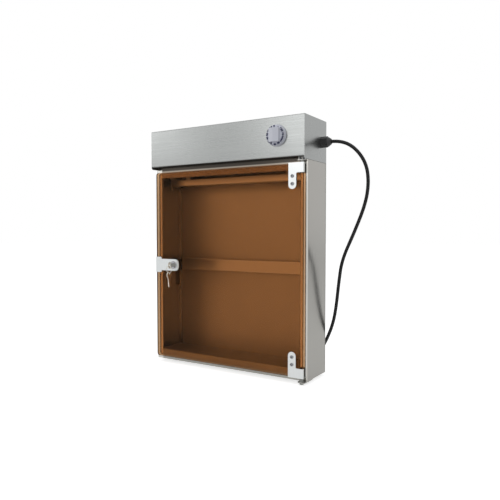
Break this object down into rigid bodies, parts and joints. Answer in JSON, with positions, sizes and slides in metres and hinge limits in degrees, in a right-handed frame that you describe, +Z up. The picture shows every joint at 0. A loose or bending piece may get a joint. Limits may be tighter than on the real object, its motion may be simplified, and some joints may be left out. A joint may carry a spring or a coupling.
{
  "type": "knife sterilizer cabinet",
  "caption": "Stainless wall cabinet with a hinged, lockable amber door, a magnetic knife rack and a lamp inside, and a deeper header with a timer knob and a mains lead.",
  "frame": {"origin": "bottom centre of the cabinet's box, under its middle, on the surface that its feet stand on; the power cord, gland and plug aren't counted", "axes": "+X to the right as seen from the front, +Y to the back, +Z up; the door faces -Y"},
  "size_m": [0.5958, 0.286, 0.6514],
  "materials": {
    "stainless": "fine brushed stainless sheet",
    "header_steel": "horizontally brushed stainless sheet",
    "amber_sheet": "polished tinted acrylic sheet",
    "hinge_steel": "brushed stainless plate",
    "fastener_steel": "bright plated steel",
    "bracket_steel": "brushed stainless plate",
    "lock_chrome": "polished chrome plate",
    "lock_black": "moulded, fine grain",
    "cam_steel": "zinc plated steel",
    "key_steel": "nickel plated",
    "knob_plastic": "moulded, satin",
    "timer_plastic": "moulded",
    "foot_rubber": "moulded, matt",
    "grommet_rubber": "moulded, matt",
    "lamp_glass": "clear quartz glass",
    "lamp_cap": "drawn, satin",
    "holder_plastic": "moulded",
    "rack_steel": "brushed stainless sheet",
    "magnet_ferrite": "sintered, matt",
    "choke_iron": "varnished steel laminations",
    "terminal_plastic": "moulded",
    "wire_insulation": "extruded",
    "gland_plastic": "moulded polyamide",
    "cord_rubber": "extruded, satin",
    "plug_rubber": "moulded, satin",
    "pin_brass": "nickel plated brass",
    "tie_plastic": "woven strap",
    "cam_shaft": "turned steel"
  },
  "bodies": {
    "cabinet": {"back_panel": "stainless", "left_side_panel": "stainless", "right_side_panel": "stainless", "floor_panel": "stainless", "top_rail_and_shelf": "stainless", "header_cover": "header_steel", "rack_channel": "rack_steel", "rack_back_strip": "rack_steel", "rack_spacers": "rack_steel", "lamp_shield": "rack_steel", "shield_hangers": "rack_steel", "m3_screws": "fastener_steel", "m4_short_screws": "fastener_steel", "m4_long_screws": "fastener_steel", "lower_bracket_nuts": "fastener_steel", "lower_pivot_bolt": "fastener_steel", "lower_pivot_nut": "fastener_steel", "lower_pivot_washer": "fastener_steel", "upper_pivot_pin": "fastener_steel", "rubber_feet": "foot_rubber", "upper_hinge_bracket": "bracket_steel", "lower_hinge_bracket": "bracket_steel", "wire_grommets": "grommet_rubber", "timer_body": "timer_plastic", "lamp_tube": "lamp_glass", "lamp_end_caps": "lamp_cap", "starter": "lamp_cap", "lamp_holders": "holder_plastic", "starter_socket": "holder_plastic", "rack_magnets": "magnet_ferrite", "ballast_choke": "choke_iron", "terminal_block": "terminal_plastic", "internal_wires": "wire_insulation", "gland_body": "gland_plastic", "gland_nut": "gland_plastic", "gland_locknut": "gland_plastic", "power_cord": "cord_rubber", "cord_coil": "cord_rubber", "cord_tail": "cord_rubber", "coil_tie": "tie_plastic", "plug_body": "plug_rubber", "plug_pins": "pin_brass"},
    "door": {"door_panel": "amber_sheet", "upper_hinge_plate": "hinge_steel", "lower_hinge_plate": "hinge_steel", "hinge_backing_plates": "bracket_steel", "hinge_plate_screws": "fastener_steel", "hinge_plate_nuts": "fastener_steel", "lock_keeper_plate": "hinge_steel", "lock_case": "lock_black", "lock_barrel": "lock_chrome", "lock_nut": "lock_chrome"},
    "lock_plug": {"lock_plug": "lock_chrome", "lock_cam": "cam_steel", "cam_screw": "cam_steel", "lock_key": "key_steel"},
    "key_ring": {"key_ring": "key_steel"},
    "spare_key": {"spare_key": "key_steel"},
    "timer_knob": {"timer_knob": "knob_plastic", "timer_shaft": "cam_shaft"}
  },
  "joints": [
    {"name": "door_hinge", "type": "hinge", "parent": "cabinet", "child": "door", "pos_m": [0.2255, -0.03825, 0.277], "axis": [0, 0, 1], "range_deg": [0, 110]},
    {"name": "lock_turn", "type": "hinge", "parent": "door", "child": "lock_plug", "pos_m": [-0.1685, -0.03425, 0.278], "axis": [0, 1, 0], "range_deg": [0, 90]},
    {"name": "ring_swing", "type": "hinge", "parent": "lock_plug", "child": "key_ring", "pos_m": [-0.1685, -0.06135, 0.27625], "axis": [1, 0, 0], "range_deg": [-80, 6]},
    {"name": "spare_key_swing", "type": "hinge", "parent": "key_ring", "child": "spare_key", "pos_m": [-0.1685, -0.06135, 0.25765], "axis": [1, 0, 0], "range_deg": [-45, 12]},
    {"name": "timer_turn", "type": "hinge", "parent": "cabinet", "child": "timer_knob", "pos_m": [0.1635, -0.05225, 0.603], "axis": [0, 1, 0], "range_deg": [0, 300]}
  ]
}
